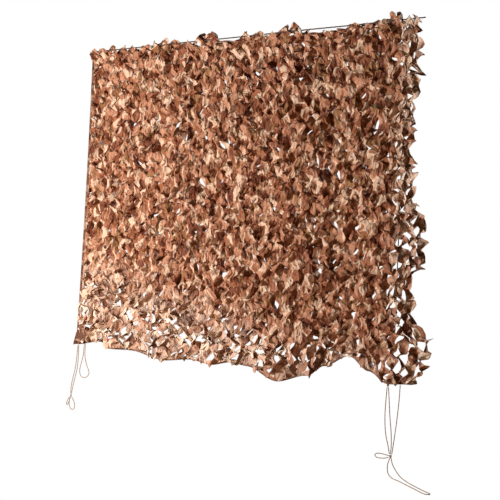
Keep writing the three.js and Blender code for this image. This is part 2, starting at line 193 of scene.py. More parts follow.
class NetSizes(bpy.types.PropertyGroup):
    """Sizes of the cloth's cutting pattern and of how it hangs."""

    height: length_of("Height", "Nominal drop from the rope to the hem", 1.5)
    left: length_of("Left edge", "Where the bound left edge hangs", -0.970)
    side_rope: length_of("Side rope", "Where the dense field ends", 0.85)
    main_strips: bpy.props.IntProperty(
        name="Main strips", description="Strips of cloth across the dense field", default=51)
    edge_strips: bpy.props.IntProperty(
        name="Edge strips", description="Strips beyond the side rope", default=4)
    strip_width: length_of("Strip width", "Flat width of cloth between two slits", 0.060)
    edge_share: bpy.props.FloatProperty(
        name="Edge share", description="Width of the strips beyond the side rope to the others",
        default=0.76)
    overhang: length_of(
        "Overhang", "How far leaf tips reach beyond the free edge's line", 0.016)
    slit_repeat: length_of("Slit repeat", "Height of one repeat of the slits", 0.051)
    slit_wave: length_of(
        "Slit wave", "How far a slit swings to each side, which makes leaves", 0.0135)
    cloth: length_of("Cloth thickness", "Thickness of the cloth with its curl", 0.001)
    row: length_of("Row", "Spacing of the mesh's rows down the cloth", 0.0092)
    flap: bpy.props.FloatProperty(
        name="Flap bend", description="How sharply a leaf's edges fold forward or back",
        default=math.radians(95), subtype="ANGLE")


class NetColours(bpy.types.PropertyGroup):
    """Dyes of the print and the trims, and the colour that painted light mixes the print towards."""

    ground: dye_of("Ground", "Main brown of the print", (0.258, 0.084, 0.034))
    pink: dye_of("Pink tan", "Pinkish tan of the print", (0.430, 0.196, 0.108))
    sand: dye_of("Sand", "Lightest tan of the print", (0.620, 0.410, 0.280))
    dark: dye_of("Dark brown", "Darkest brown of the print", (0.140, 0.033, 0.009))
    olive: dye_of("Olive", "Olive tan of the print", (0.240, 0.108, 0.038))
    bare: dye_of("Undyed", "Cloth the dye has not reached", (0.850, 0.720, 0.580))
    # Not a dye: the pale colour of the light painted low on the cloth and at the free side.
    painted_light: dye_of("Painted_light", "What the print lightens to", (0.860, 0.660, 0.510))
    rope: dye_of("Rope", "Dark laid rope", (0.060, 0.030, 0.018))
    cord: dye_of("Cord", "Light tie cord", (0.330, 0.180, 0.095))
    thread: dye_of("Thread", "Sewing thread", (0.300, 0.170, 0.100))


def sizes():
    """The sizes that the scene holds."""
    return bpy.context.scene.net_sizes


def colours():
    """The colours that the scene holds."""
    return bpy.context.scene.net_colours


# ------------------------ shape of the hung cloth

def scatter(a, b, c):
    """A fixed scatter from -1 to 1 for whole numbers a, b and c."""
    wave = np.sin(a * 12.9898 + b * 78.233 + c * 37.719) * 43758.5453
    return 2 * (wave - np.floor(wave)) - 1


def smooth(x):
    """0 to 1 with soft ends."""
    x = np.clip(x, 0, 1)
    return x * x * (3 - 2 * x)


def ramp(x, start, length):
    """0 up to a start, and 1 from a length beyond it."""
    return smooth((x - start) / length)


def mix(a, b, t):
    """From a to b as t goes from 0 to 1."""
    return a + (b - a) * t


def eased(places, values, at):
    """Reads a table at a place, eased between its rows."""
    i = np.clip(np.searchsorted(places, at) - 1, 0, len(places) - 2)
    t = (at - places[i]) / (places[i + 1] - places[i])
    return mix(values[i], values[i + 1], smooth(t))


def hem_at(across, column):
    """The hem's drop or depth at a place across."""
    return eased(HEM[:, 0], HEM[:, column], np.clip(across, HEM[0, 0], HEM[-1, 0]))


def fallen(drop):
    """Share of the cloth's height at a drop."""
    return np.clip(drop / sizes().height, 0, 1)


def hung_height(across, drop):
    """Real height of the hung cloth for a place across and a nominal drop."""
    return -drop - (hem_at(across, 1) - sizes().height) * fallen(drop) ** 5


def hung_depth(across, drop):
    """How far the hung cloth stands forward or back before its strips turn."""
    s = sizes()
    below_rope = ramp(drop, 0, 0.22)
    waves = sum(size * np.sin(across / MM / over + drop / MM / down) for size, over, down in WAVES)
    body = waves * MM * ramp(across - s.left, 0.04, 0.16) * below_rope * (1 - ramp(drop, 1.25, 0.23))
    curl = 0.026 * ramp(across, s.side_rope, 0.13) * below_rope * (1 - fallen(drop) ** 8)
    return body + curl + hem_at(across, 2) * fallen(drop) ** 3


def left_line(drop):
    """Where the bound left edge hangs at a drop; it bows inward above its lower corner."""
    return sizes().left - 0.031 * fallen(drop) ** 2


def row_drops():
    """Drop of each row of the mesh, from the gathered tops to the hem."""
    s = sizes()
    first = -TOP_ROWS * s.row
    count = int(round((s.height - first) / s.row)) + 1
    drop = first + s.row * np.arange(count)
    drop[-1] = s.height
    return drop


def strip_lines(drop):
    """Where the lines between strips hang, one column for each line and a row for each drop."""
    s = sizes()
    drop = drop[:, None]
    k = np.arange(s.main_strips + 1)[None]
    main = mix(left_line(drop), s.side_rope, k / s.main_strips)
    out = eased(RIGHT_EDGE[:, 0], RIGHT_EDGE[:, 1], drop) - s.overhang
    e = np.arange(1, s.edge_strips + 1)[None]
    return np.concatenate([main, mix(s.side_rope, out, e / s.edge_strips)], axis=1)


def leaf_noise(strip, drop, seed, hold=2.2):
    """One random value for each leaf of each strip, held over the leaf and eased at its bonds."""
    half = sizes().slit_repeat / 2
    at = drop / half - 0.5
    leaf = np.floor(at)
    turn_over = smooth((at - leaf - 0.5) * hold + 0.5)
    return mix(scatter(strip, leaf, seed), scatter(strip, leaf + 1, seed), turn_over)


def slit_turns(gap, drop):
    """Repeats of a slit down to a drop; whole numbers are its bonds."""
    s = sizes()
    shift = s.row * np.round(1.4 * scatter(gap, 3, SEEDS["slit shift"]))
    return (drop - shift) / s.slit_repeat - 0.5 * (gap % 2)


def from_bond(gap, drop):
    """Distance to a gap's nearest bond, in repeats of its slit."""
    turns = slit_turns(gap, drop)
    return np.abs(turns - np.round(turns))


def slit_swing(gap, drop):
    """How far the slit between two strips swings aside: one point to each side in a repeat."""
    turns = 2 * slit_turns(gap, drop)
    half, phase = np.floor(turns), turns - np.floor(turns)
    tip = 0.5 + 0.2 * scatter(gap, half, SEEDS["slit tip"])
    point = np.where(phase < tip, phase / tip, (1 - phase) / (1 - tip))
    size = sizes().slit_wave * (1 + 0.35 * scatter(gap, half, SEEDS["slit size"]))
    turned = scatter(gap, np.floor(half / 2), SEEDS["slit side"]) > 0.35
    return size * point * np.where((half % 2 == 0) ^ turned, 1.0, -1.0)


def to_bonds(strip, drop):
    """Which neighbour a strip leans to: 1 at its right bonds and -1 at its left ones."""
    left, right = from_bond(strip - 1, drop), from_bond(strip, drop)
    return (left - right) / np.maximum(left + right, 0.05)


def bond_weight(gap, drop):
    """1 within a bond of a gap, falling away above and below it."""
    s = sizes()
    away = from_bond(gap, drop) * s.slit_repeat
    within = away < 0.6 * s.row
    tops = (drop < -0.6 * s.row) & (drop > -2.6 * s.row)
    fade = np.exp(-np.maximum(away - 0.6 * s.row, 0) / BOND_FADE)
    return np.where(within | tops, 1.0, np.where(drop < 0.3 * s.row, 0.0, fade))


def band(across, drop, settings):
    """1 in a band low on the cloth, and less towards its right."""
    start, slope, depth, least, width = settings
    within = smooth((drop - start - slope * (across + 0.96)) / depth)
    return within * mix(1, least, ramp(across, 0.1, width))


def free_side(across):
    """1 beyond the side rope."""
    return ramp(across - sizes().side_rope, -0.02, 0.03)


def bent_strip(wide, centre, turn, bends):
    """Places across and in depth of the points across each strip, from the strip's line."""
    step, places = wide / (ACROSS - 1), []
    for part in (np.cos, np.sin):
        run = np.concatenate([0 * wide] + [step * part(turn + b) for b in bends], -1).cumsum(-1)
        places.append(run - (run[..., 2:3] - centre * part(turn)))
    return places


def sheet_points(drop):
    """By strip, row and point across: the cloth's middle surface, its flat coordinates, and its
    distance from a cut edge with how much light is painted onto its print there."""
    s = sizes()
    lines = strip_lines(drop)
    i = np.arange(s.main_strips + s.edge_strips)[:, None, None]
    d = drop[None, :, None]
    q = np.linspace(0, 1, ACROSS)[None, None]
    x0, x1 = lines[:, :-1].T[:, :, None], lines[:, 1:].T[:, :, None]
    middle, pitch = (x0 + x1) / 2, x1 - x0
    low, side = band(middle, d, LOW_BAND), free_side(middle)
    leaf = {name: mix(*ends, np.maximum(low, side)) for name, ends in LEAF.items()}

    flare = mix(1, LOW_FLARE, low)
    left_swing, right_swing = flare * slit_swing(i - 1, d), flare * slit_swing(i, d)
    wide = mix(1 + LOW_WIDENING * low, s.edge_share, side) * s.strip_width
    wide = wide + right_swing - left_swing
    centre = (right_swing + left_swing) / 2
    mean_turn = MEAN_TURN + LOW_TURN * low + SIDE_TURN * side
    turn = np.radians(mean_turn + (leaf["spread"] + LOW_SPREAD * low)
                      * leaf_noise(i, d, SEEDS["turn"], 1.5)
                      + TWIST * leaf_noise(i + 90, TWIST_RATE * d, SEEDS["twist"], 1.0))
    left_flap, right_flap = (
        s.flap * leaf["fold"] * (leaf["back"] + leaf_noise(i, 1.5 * d, SEEDS[seed], 1.4))
        * (1 - bond_weight(gap, d)) for gap, seed in ((i - 1, "left flap"), (i, "right flap")))
    bends = [-left_flap, -leaf["inner"] * left_flap, leaf["inner"] * right_flap, right_flap]
    x, y = bent_strip(wide, centre, turn, bends)

    offset = (q - 0.5) * wide + centre
    lean = to_bonds(i, d)
    x = middle + x + leaf["zigzag"] * pitch * lean + leaf["across"] * leaf_noise(i, d, SEEDS["across"])
    y = y - leaf["swing"] * s.strip_width * np.sin(np.radians(mean_turn)) * lean
    y = y + leaf["depth"] * leaf_noise(i, d, SEEDS["depth"]) + hung_depth(middle, d)
    skew = leaf["skew"] * leaf_noise(i, d, SEEDS["skew"])
    z = hung_height(middle, d) + skew * offset - leaf["droop"] * np.abs(offset)
    z = z + leaf["up"] * leaf_noise(i, d, SEEDS["up"])
    points = bring_to_rope(np.stack([x, y, z], axis=-1), i, d)
    points = flatten_to_hem(join_bonds(points, lines, drop), lines, drop)

    cut = np.minimum(q, 1 - q) * wide
    # Painted light: the print is painted paler beyond the side rope (less so near the hem) and in a
    # band low on the cloth, with each leaf's share scattered.
    side_painted_light = side * (1 - 0.8 * ramp(d, 1.10, 0.20))
    painted_light = np.maximum(band(middle, d, PAINTED_LIGHT_BAND) * (1 - 0.8 * side), side_painted_light)
    painted_light = painted_light * (0.5 + 0.5 * leaf_noise(i, d, SEEDS["fade"]))
    flat = np.stack([s.strip_width * (i + 0.5) + offset, d + 0 * offset], axis=-1)
    return points, flat, (cut, painted_light + 0 * cut)


def bring_to_rope(points, i, d):
    """Gathers the strips' tops round the rope: they pass it in front and behind by turns and
    stand above it, or hang below it where the rope is bare."""
    s = sizes()
    beyond = np.maximum(i - s.main_strips, 0) * SIDE_TOPS // s.edge_strips
    main_tops = len(TOP_REACH) - SIDE_TOPS
    reach = TOP_REACH[np.where(i < s.main_strips, i * main_tops // s.main_strips, main_tops + beyond)]
    reach = reach + np.where(reach > 0, 0.008 * scatter(i, 0, SEEDS["top"]), 0)
    first = -TOP_ROWS * s.row
    share = np.clip((d - first) / (GATHERED - first), 0, 1)
    z = np.where(d < GATHERED, mix(reach, -GATHERED, share), points[..., 2])
    z = z + np.where(d < GATHERED, 0.25 * (points[..., 2] + d), 0)
    point = np.abs(np.linspace(-1, 1, ACROSS)) ** 1.5
    z = np.minimum(z, np.maximum(reach, 0)) - 0.020 * point * (1 - share) * (reach > 0)
    near = smooth(1 - (np.abs(z) - 0.012) / 0.02)
    y = mix(points[..., 1], np.where(i % 2 == 0, -ROPE_CLEAR, ROPE_CLEAR), near)
    z = np.where((reach < 0) & (z > -BARE_DROP), -BARE_DROP, z)
    return np.stack([points[..., 0], y, z], axis=-1)


def join_bonds(points, lines, drop):
    """Pulls the edges of neighbouring strips together at their bonds, and the first strip's
    left edge flat to its tape."""
    q = np.linspace(0, 1, ACROSS)[None, :, None]
    to_right = np.clip(2 * q - 1, 0, 1) ** 1.3
    to_left = np.clip(1 - 2 * q, 0, 1) ** 1.3
    moved = points.copy()
    for gap in range(len(points) - 1):
        right, left = points[gap, :, -1], points[gap + 1, :, 0]
        share = bond_weight(gap, drop)[:, None]
        shift = [reach * leaf_noise(gap + 200, drop, seed)
                 for reach, seed in zip((0.007, 0.007, 0.012), SEEDS["bond"])]
        meet = (right + left) / 2 + np.stack(shift, axis=-1)
        moved[gap] += to_right * (share * (meet - right))[:, None]
        moved[gap + 1] += to_left * (share * (meet - left))[:, None]
    taped = np.stack([lines[:, 0] + TAPE_HIDDEN, 0 * drop, -drop], axis=1)
    share = ramp(drop, 0.02, 0.03)[:, None]
    moved[0] += (1 - q) ** 0.8 * (share * (taped - points[0, :, 0]))[:, None]
    eased_rows = moved.copy()
    eased_rows[:, 1:-1] = 0.5 * moved[:, 1:-1] + 0.25 * (moved[:, :-2] + moved[:, 2:])
    return mix(moved, eased_rows, 0.6 * ramp(drop, 0.03, 0.03)[None, :, None, None])


def hem_point(across):
    """Where the hem hangs at places across."""
    drop = sizes().height + 0 * across
    return np.stack([across, hung_depth(across, drop), hung_height(across, drop)], axis=-1)


def flatten_to_hem(points, lines, drop):
    """Eases the strips into the plain edge that the hem tape is folded round, with the last
    leaf tips hanging over the front of the tape."""
    height = sizes().height
    q = np.linspace(0, 1, ACROSS)
    share = ramp(drop, height - 0.030, 0.020)[None, :, None, None]
    x = mix(lines[-1, :-1][:, None], lines[-1, 1:][:, None], q[None])
    rise = (height - drop)[None, :, None, None] * np.array([0, 0, 1.0])
    laid = mix(points, hem_point(x)[:, None] + rise, share)
    lip = np.exp(-((drop - height + HEM_LIP) / 0.012) ** 2)[None, :, None]
    strip = np.arange(len(points))[:, None, None]
    length = 0.55 + 0.45 * scatter(strip, 0, SEEDS["hem tip"])
    tip = (1 - np.abs(2 * q - 1)) * length * (strip > 1)
    laid[..., 1] -= lip * (0.006 + 0.010 * tip)
    laid[..., 2] -= 0.036 * lip * tip
    return laid


# ------------------------ meshes

def in_scene(name, data):
    """A new object in the scene."""
    made = bpy.data.objects.new(name, data)
    bpy.context.scene.collection.objects.link(made)
    return made


def new_piece(name, points, faces):
    """A smoothly shaded mesh in the scene, from points and faces."""
    mesh = bpy.data.meshes.new(name)
    mesh.from_pydata([tuple(p) for p in points], [], [tuple(f) for f in faces])
    mesh.validate()
    mesh.shade_smooth()
    return in_scene(name, mesh)


def vertex_normals(points, triangles):
    """Unit normals of the points, weighted by the area of their triangles."""
    corners = points[triangles]
    n = np.cross(corners[:, 1] - corners[:, 0], corners[:, 2] - corners[:, 0])
    total = np.zeros_like(points)
    for k in range(3):
        np.add.at(total, triangles[:, k], n)
    return total / np.maximum(np.linalg.norm(total, axis=1, keepdims=True), 1e-12)


def split_quads(points, quads):
    """Triangles of the quads, each cut along its shorter diagonal."""
    p = points[quads]
    one = np.linalg.norm(p[:, 0] - p[:, 2], axis=1)
    other = np.linalg.norm(p[:, 1] - p[:, 3], axis=1)
    order = np.where((one <= other)[:, None], (0, 1, 2, 0, 2, 3), (1, 2, 3, 1, 3, 0))
    return np.take_along_axis(quads, order, axis=1).reshape(-1, 3)


def sheet_faces(shape, drop):
    """Quads of the lattice, with the bonded rows' edge points shared between strips."""
    strips, rows, across = shape
    index = np.arange(strips * rows * across).reshape(shape)
    for gap in range(strips - 1):
        weight = bond_weight(gap, drop)
        joined = (weight > 0.999) | (drop > sizes().height - HEM_LIP)
        index[gap + 1, joined, 0] = index[gap, joined, -1]
    a, b = index[:, :-1, :-1], index[:, :-1, 1:]
    c, e = index[:, 1:, 1:], index[:, 1:, :-1]
    faces = np.stack([a, e, c, b], axis=-1).reshape(-1, 4)
    selvedge = index.size + np.arange(rows)
    left = index[0, :, 0]
    bound = np.flatnonzero(drop[:-1] > SELVEDGE_TOP)
    beside = np.stack([selvedge[bound], selvedge[bound + 1], left[bound + 1], left[bound]], axis=1)
    return np.concatenate([faces, beside])


def thickened(points, quads, thickness):
    """Front and back layers and the wall along every cut edge. Returns the used points' places,
    all points, the layers' triangles, and the walls' quads."""
    used, quads = np.unique(quads, return_inverse=True)
    points, quads = points[used], quads.reshape(-1, 4)
    faces = split_quads(points, quads)
    normals = vertex_normals(points, faces)
    back = len(points)
    both = np.concatenate([points + normals * thickness / 2, points - normals * thickness / 2])
    edges = np.concatenate([quads[:, [k, (k + 1) % 4]] for k in range(4)])
    _, first, uses = np.unique(np.sort(edges, axis=1), axis=0, return_index=True,
                               return_counts=True)
    free = edges[first[uses == 1]]
    walls = np.stack([free[:, 1], free[:, 0], free[:, 0] + back, free[:, 1] + back], axis=1)
    return used, both, np.concatenate([faces, faces[:, ::-1] + back]), walls


def put_attribute(mesh, name, values):
    """One number for each point, for the materials to read."""
    layer = mesh.attributes.new(name, "FLOAT", "POINT")
    layer.data.foreach_set("value", np.asarray(values, np.float32))


def put_uv(mesh, uv):
    """One flat coordinate for each point, written to the corners that use it."""
    layer = mesh.uv_layers.new(name="flat")
    corner = np.zeros(len(mesh.loops), np.int32)
    mesh.loops.foreach_get("vertex_index", corner)
    layer.data.foreach_set("uv", np.asarray(uv, np.float32)[corner].ravel())


def build_sheet():
    """The slit-cut cloth with its selvedge: two layers with a wall along every cut edge."""
    drop = row_drops()
    points, flat, (cut, painted_light) = sheet_points(drop)
    faces = sheet_faces(points.shape[:3], drop)
    selvedge = points[0, :, 0] - (SELVEDGE, 0, 0)
    every = np.concatenate([points.reshape(-1, 3), selvedge])
    flat = np.concatenate([flat.reshape(-1, 2), flat[0, :, 0] - (SELVEDGE, 0)])
    cut = np.concatenate([cut.ravel(), np.full(len(drop), UNCUT)])
    painted_light = np.concatenate([painted_light.ravel(), np.zeros(len(drop))])
    used, both, layers, walls = thickened(every, faces, sizes().cloth)
    piece = new_piece("net_cloth", both, [*layers, *walls])
    put_uv(piece.data, np.tile(flat[used], (2, 1)))
    # Each point's distance from a cut edge, which sets a painted highlight, and its share of the light
    # painted onto the print.
    for name, values in (("from_cut", cut), ("painted_light", painted_light)):
        put_attribute(piece.data, name, np.tile(values[used], 2))
    piece.data.set_sharp_from_angle(angle=math.radians(30))
    piece.data.materials.append(printed_cloth("net_cloth_face"))
    piece.data.materials.append(printed_cloth("net_cloth_reverse", pale=0.80))
    side = np.zeros(len(piece.data.polygons), np.int32)
    side[len(layers) // 2:len(layers)] = 1
    piece.data.polygons.foreach_set("material_index", side)
    return piece


def steps_of(path):
    """Length of each step of a path."""
    return np.linalg.norm(np.diff(path, axis=0), axis=1)


def curve_through(route, step):
    """Points about one step apart on the smooth curve through a route."""
    ends = [2 * route[0] - route[1], 2 * route[-1] - route[-2]]
    p = np.concatenate([ends[:1], route, ends[1:]])
    gap = np.maximum(steps_of(p), 1e-9) ** 0.5
    run = []
    for k in range(1, len(p) - 2):
        before, here, after = gap[k - 1:k + 2]
        start = (p[k] - p[k - 1]) / before - (p[k + 1] - p[k - 1]) / (before + here)
        start = (start + (p[k + 1] - p[k]) / here) * here
        end = (p[k + 1] - p[k]) / here - (p[k + 2] - p[k]) / (here + after)
        end = (end + (p[k + 2] - p[k + 1]) / after) * here
        count = max(2, int(math.ceil(here ** 2 / step)))
        t = (np.arange(count) / count)[:, None]
        run.append((2 * t ** 3 - 3 * t ** 2 + 1) * p[k] + (t ** 3 - 2 * t ** 2 + t) * start
                   + (3 * t ** 2 - 2 * t ** 3) * p[k + 1] + (t ** 3 - t ** 2) * end)
    return np.concatenate(run + [route[-1:]])


def distance_along(path):
    """Distance of each point from the path's start."""
    return np.concatenate([[0], np.cumsum(steps_of(path))])


def directions(path):
    """Unit tangent at each point of a path."""
    tangent = np.gradient(path, axis=0)
    return tangent / np.linalg.norm(tangent, axis=1, keepdims=True)


def ring_walls(rings, around):
    """Quads between closed rings of points, one ring after the other."""
    k = np.arange(rings - 1)[:, None] * around
    a, b = np.arange(around)[None], (np.arange(around)[None] + 1) % around
    return np.stack([k + a, k + a + around, k + b + around, k + b], axis=-1).reshape(-1, 4)


def frames_along(path):
    """Two directions across a path that turn as little as they can."""
    tangent = directions(path)
    side = np.cross(tangent[0], (0.3, 0.9, 0.2))
    sides = []
    for t in tangent:
        side = side - t * np.dot(side, t)
        side = side / np.linalg.norm(side)
        sides.append(side)
    sides = np.array(sides)
    return sides, np.cross(tangent, sides)


def folded_tape(name, path, into, seed):
    """Soft tape folded lengthwise: path is its fold and into points from there to the cloth.
    Returns the piece and its two sewing lines."""
    height, outer, inner = 0.014, 0.0019, 0.0012
    half = [(height, -outer), (0.6 * height, -outer), (0.1 * height, -outer),
            (-0.0010, -0.6 * outer)]
    section = np.array([*half, (-0.0015, 0), *((h, -n) for h, n in reversed(half))])
    lining = section.copy()
    lining[:, 1] *= inner / outer
    lining[2:7, 0] += 0.0007
    tangent = directions(path)
    into = into - tangent * (into * tangent).sum(1, keepdims=True)
    into /= np.linalg.norm(into, axis=1, keepdims=True)
    out = np.cross(tangent, into)
    along = distance_along(path)
    pucker = 0.0003 * np.sin(along * 620 + seed) * np.sin(along * 97)
    rise = 0.0007 * np.sin(along * 143 + seed)
    ring = []
    for points in (section, lining[::-1]):
        for h, n in points:
            lift = h + rise * max(0.0, h) / height
            swell = n + np.sign(n) * pucker * (0 < h < 0.9 * height)
            ring.append(path + into * lift[:, None] + out * swell[:, None])
    ring = np.stack(ring, axis=1)
    around = ring.shape[1]
    last = (len(path) - 1) * around
    caps = []
    for j in range(len(section) - 1):
        quad = (j, j + 1, around - 2 - j, around - 1 - j)
        caps += [quad, tuple(last + q for q in reversed(quad))]
    piece = new_piece(name, ring.reshape(-1, 3), [*ring_walls(len(path), around), *caps])
    flat = np.stack(np.broadcast_arrays(along[:, None], np.arange(around)[None] * 0.003), axis=-1)
    put_uv(piece.data, flat.reshape(-1, 2))
    put_attribute(piece.data, "from_cut", np.full(around * len(path), UNCUT))
    piece.data.set_sharp_from_angle(angle=math.radians(50))
    lines = [path + into * 0.75 * height + out * n for n in (-outer - 0.0002, outer + 0.0002)]
    return piece, lines


def stitch_group():
    """Geometry nodes that lay short stitches end to end along every line of a mesh."""
    group = bpy.data.node_groups.new("stitches", "GeometryNodeTree")
    for name, kind in (("Geometry", "Geometry"), ("Pitch", "Float"), ("Length", "Float"),
                       ("Thread", "Float"), ("Material", "Material")):
        group.interface.new_socket(name, in_out="INPUT", socket_type="NodeSocket" + kind)
    group.interface.new_socket("Geometry", in_out="OUTPUT", socket_type="NodeSocketGeometry")
    given = node(group, "NodeGroupInput").outputs
    line = node(group, "GeometryNodeMeshToCurve", {0: given["Geometry"]})
    spaced = node(group, "GeometryNodeResampleCurve", {
        "Curve": line.outputs[0], "Length": given["Pitch"]}, mode="LENGTH")
    points = node(group, "GeometryNodeCurveToPoints", {
        "Curve": spaced.outputs[0]}, mode="EVALUATED").outputs
    bead = node(group, "GeometryNodeMeshIcoSphere", {"Radius": 0.5, "Subdivisions": 1})
    aim = node(group, "FunctionNodeAlignRotationToVector", {"Vector": points["Tangent"]}, axis="X")
    size = node(group, "ShaderNodeCombineXYZ", {
        "X": given["Length"], "Y": given["Thread"], "Z": given["Thread"]})
    placed = node(group, "GeometryNodeInstanceOnPoints", {
        "Points": points["Points"], "Instance": bead.outputs["Mesh"],
        "Rotation": aim.outputs[0], "Scale": size.outputs[0]})
    real = node(group, "GeometryNodeRealizeInstances", {0: placed.outputs[0]})
    finish = node(group, "GeometryNodeSetMaterial", {
        "Geometry": real.outputs[0], "Material": given["Material"]})
    node(group, "NodeGroupOutput", {0: finish.outputs[0]})
    return group


def sewn(name, lines, material):
    """Stitches along lines, as one plain mesh."""
    mesh = bpy.data.meshes.new(name + "_lines")
    points, edges = [], []
    for line in lines:
        first = len(points)
        points += [tuple(p) for p in line]
        edges += [(first + k, first + k + 1) for k in range(len(line) - 1)]
    mesh.from_pydata(points, edges, [])
    guide = in_scene(name + "_lines", mesh)
    group = bpy.data.node_groups.get("stitches") or stitch_group()
    modifier = guide.modifiers.new("stitches", "NODES")
    modifier.node_group = group
    values = {"Pitch": 0.0045, "Length": 0.0034, "Thread": 0.0008, "Material": material}
    for item in group.interface.items_tree:
        if item.in_out == "INPUT" and item.name in values:
            modifier[item.identifier] = values[item.name]
    bpy.context.view_layer.update()
    made = bpy.data.meshes.new_from_object(
        guide.evaluated_get(bpy.context.evaluated_depsgraph_get()))
    bpy.data.objects.remove(guide)
    return in_scene(name, made)


def corner_patch(name):
    """A cloth patch with a turned edge over the lower left corner, and its sewing line."""
    front_face, back_face, sewn_in, sewn_at = -0.0052, -0.0032, 0.0060, -0.0047
    outline = np.array(PATCH) * MM
    outline = np.concatenate([outline, outline[:1]])
    dense = []
    for a, b in zip(outline[:-1], outline[1:]):
        count = max(1, int(round(np.linalg.norm(b - a) / 0.004)))
        dense += [mix(a, b, k / count) for k in range(count)]
    dense = np.array(dense)
    centre = dense.mean(axis=0)
    away = np.linalg.norm(dense - centre, axis=1, keepdims=True)
    rings = ((0, -0.0036), (0.0008, -0.0048), (0.0045, -0.0050), (sewn_in, -0.0044),
             (0.0078, -0.0049), (0.0160, -0.0053))
    points, n = [], len(dense)
    for inset, depth in rings:
        flat = centre + (dense - centre) * np.maximum(0.15, 1 - inset / away)
        points += [(x, depth, z) for x, z in flat]
    points += [(x, back_face, z) for x, z in dense]
    front, back = len(points), len(points) + 1
    points += [(centre[0], depth, centre[1]) for depth in (front_face, back_face)]
    faces = [*ring_walls(len(rings), n)]
    inner, rear = (len(rings) - 1) * n, len(rings) * n
    for k in range(n):
        after = (k + 1) % n
        faces += [(inner + k, front, inner + after), (k, after, rear + after, rear + k),
                  (rear + k, rear + after, back)]
    piece = new_piece(name, points, faces)
    put_uv(piece.data, np.array(points)[:, [0, 2]])
    put_attribute(piece.data, "from_cut", np.full(len(points), UNCUT))
    line = centre + (dense - centre) * np.maximum(0.15, 1 - sewn_in / away)
    line = np.stack([line[:, 0], np.full(n, sewn_at), line[:, 1]], axis=1)
    return piece, np.concatenate([line, line[:1]])


def laid_tube(name, path, diameter, strands, around=12):
    """A rope of twisted strands along a path."""
    side, other = frames_along(path)
    along = distance_along(path)
    turn = 2 * np.pi * np.arange(around) / around
    twist = along[:, None] / (4.5 * diameter) * 2 * np.pi / strands
    radius = diameter / 2 * (0.90 + 0.10 * np.cos(strands * (turn[None] + twist)))
    ring = (path[:, None] + side[:, None] * (radius * np.cos(turn))[..., None]
            + other[:, None] * (radius * np.sin(turn))[..., None])
    rings, last = len(path), (len(path) - 1) * around
    walls = np.roll(ring_walls(rings, around), -1, axis=1)
    points = np.concatenate([ring.reshape(-1, 3), path[:1], path[-1:]])
    first_cap = [((j + 1) % around, rings * around, j) for j in range(around)]
    last_cap = [(rings * around + 1, last + (j + 1) % around, last + j) for j in range(around)]
    piece = new_piece(name, points, [*walls, *first_cap, *last_cap])
    flat = np.stack(np.broadcast_arrays(along[:, None], turn[None] * diameter / 2), axis=-1)
    ends = np.array([(0, 0), (along[-1], 0)])
    put_uv(piece.data, np.concatenate([flat.reshape(-1, 2), ends]))
    return piece


def lay_line(name, path, diameter, strands, finish):
    """A rope, cord or knot in the place of its solid."""
    piece = laid_tube("net_" + name, path, diameter, strands)
    piece.data.materials.append(finish)
    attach(piece, "root")
    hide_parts(name)
    return piece


# ------------------------ materials

def node(tree, kind, given=None, **settings):
    """A new node with its settings, and with a value or a link for each input that is given."""
    made = tree.nodes.new(kind)
    for key, value in settings.items():
        setattr(made, key, value)
    for key, value in (given or {}).items():
        if isinstance(value, bpy.types.NodeSocket):
            tree.links.new(value, made.inputs[key])
        else:
            made.inputs[key].default_value = value
    return made


def new_material(name, roughness, sheen=0.0):
    """A material, its node tree and its main shader."""
    material = bpy.data.materials.new(name)
    material.use_nodes = True
    tree = material.node_tree
    shader = tree.nodes["Principled BSDF"]
    shader.inputs["Roughness"].default_value = roughness
    shader.inputs["Specular IOR Level"].default_value = 0.25
    shader.inputs["Sheen Weight"].default_value = sheen
    return material, tree, shader


def patches(tree, where, scale, detail, threshold, edge):
    """A soft-edged mask of print patches: noise cut at a threshold."""
    noise = node(tree, "ShaderNodeTexNoise", {
        "Vector": where, "Scale": scale, "Detail": detail, "Distortion": 0.6},
        noise_dimensions="2D")
    cut = node(tree, "ShaderNodeMapRange", {
        "Value": noise.outputs["Fac"], "From Min": threshold - edge,
        "From Max": threshold + edge}, interpolation_type="SMOOTHSTEP")
    return cut.outputs["Result"]


def blend_colour(tree, mask, under, over):
    """Mixes a colour or a socket over another one by a mask."""
    given = {"Factor": mask}
    for place, value in ((6, under), (7, over)):
        given[place] = value if isinstance(value, bpy.types.NodeSocket) else (*value, 1.0)
    return node(tree, "ShaderNodeMix", given, data_type="RGBA").outputs[2]


def shifted(tree, where, offset):
    """The same coordinates, moved by an offset."""
    return node(tree, "ShaderNodeMapping", {"Vector": where, "Location": offset}).outputs["Vector"]


def scaled_by(tree, source, start, end, top=1.0):
    """A number that goes from start to end as a source goes from 0 to its top."""
    return node(tree, "ShaderNodeMapRange", {
        "Value": source, "From Max": top, "To Min": start, "To Max": end}).outputs["Result"]


def product(tree, one, other):
    """Two numbers multiplied."""
    return node(tree, "ShaderNodeMath", {0: one, 1: other}, operation="MULTIPLY").outputs[0]


def weave_bump(tree, shader, where, pitch, strength, crumple=0.0):
    """Crossed threads, raised as bump, over creases where the cloth is crumpled."""
    threads = [node(tree, "ShaderNodeTexWave", {
        "Vector": where, "Scale": 2 * math.pi / (20 * pitch), "Distortion": 0.4},
        wave_type="BANDS", bands_direction=direction).outputs["Fac"] for direction in ("X", "Y")]
    bump = node(tree, "ShaderNodeBump", {
        "Height": product(tree, *threads), "Strength": strength, "Distance": 0.0004})
    if crumple:
        cells = node(tree, "ShaderNodeTexVoronoi", {
            "Vector": where, "Scale": 52.0}, voronoi_dimensions="2D")
        crease = node(tree, "ShaderNodeBump", {
            "Height": cells.outputs["Distance"], "Strength": 1.0, "Distance": crumple})
        tree.links.new(crease.outputs["Normal"], bump.inputs["Normal"])
    tree.links.new(bump.outputs["Normal"], shader.inputs["Normal"])


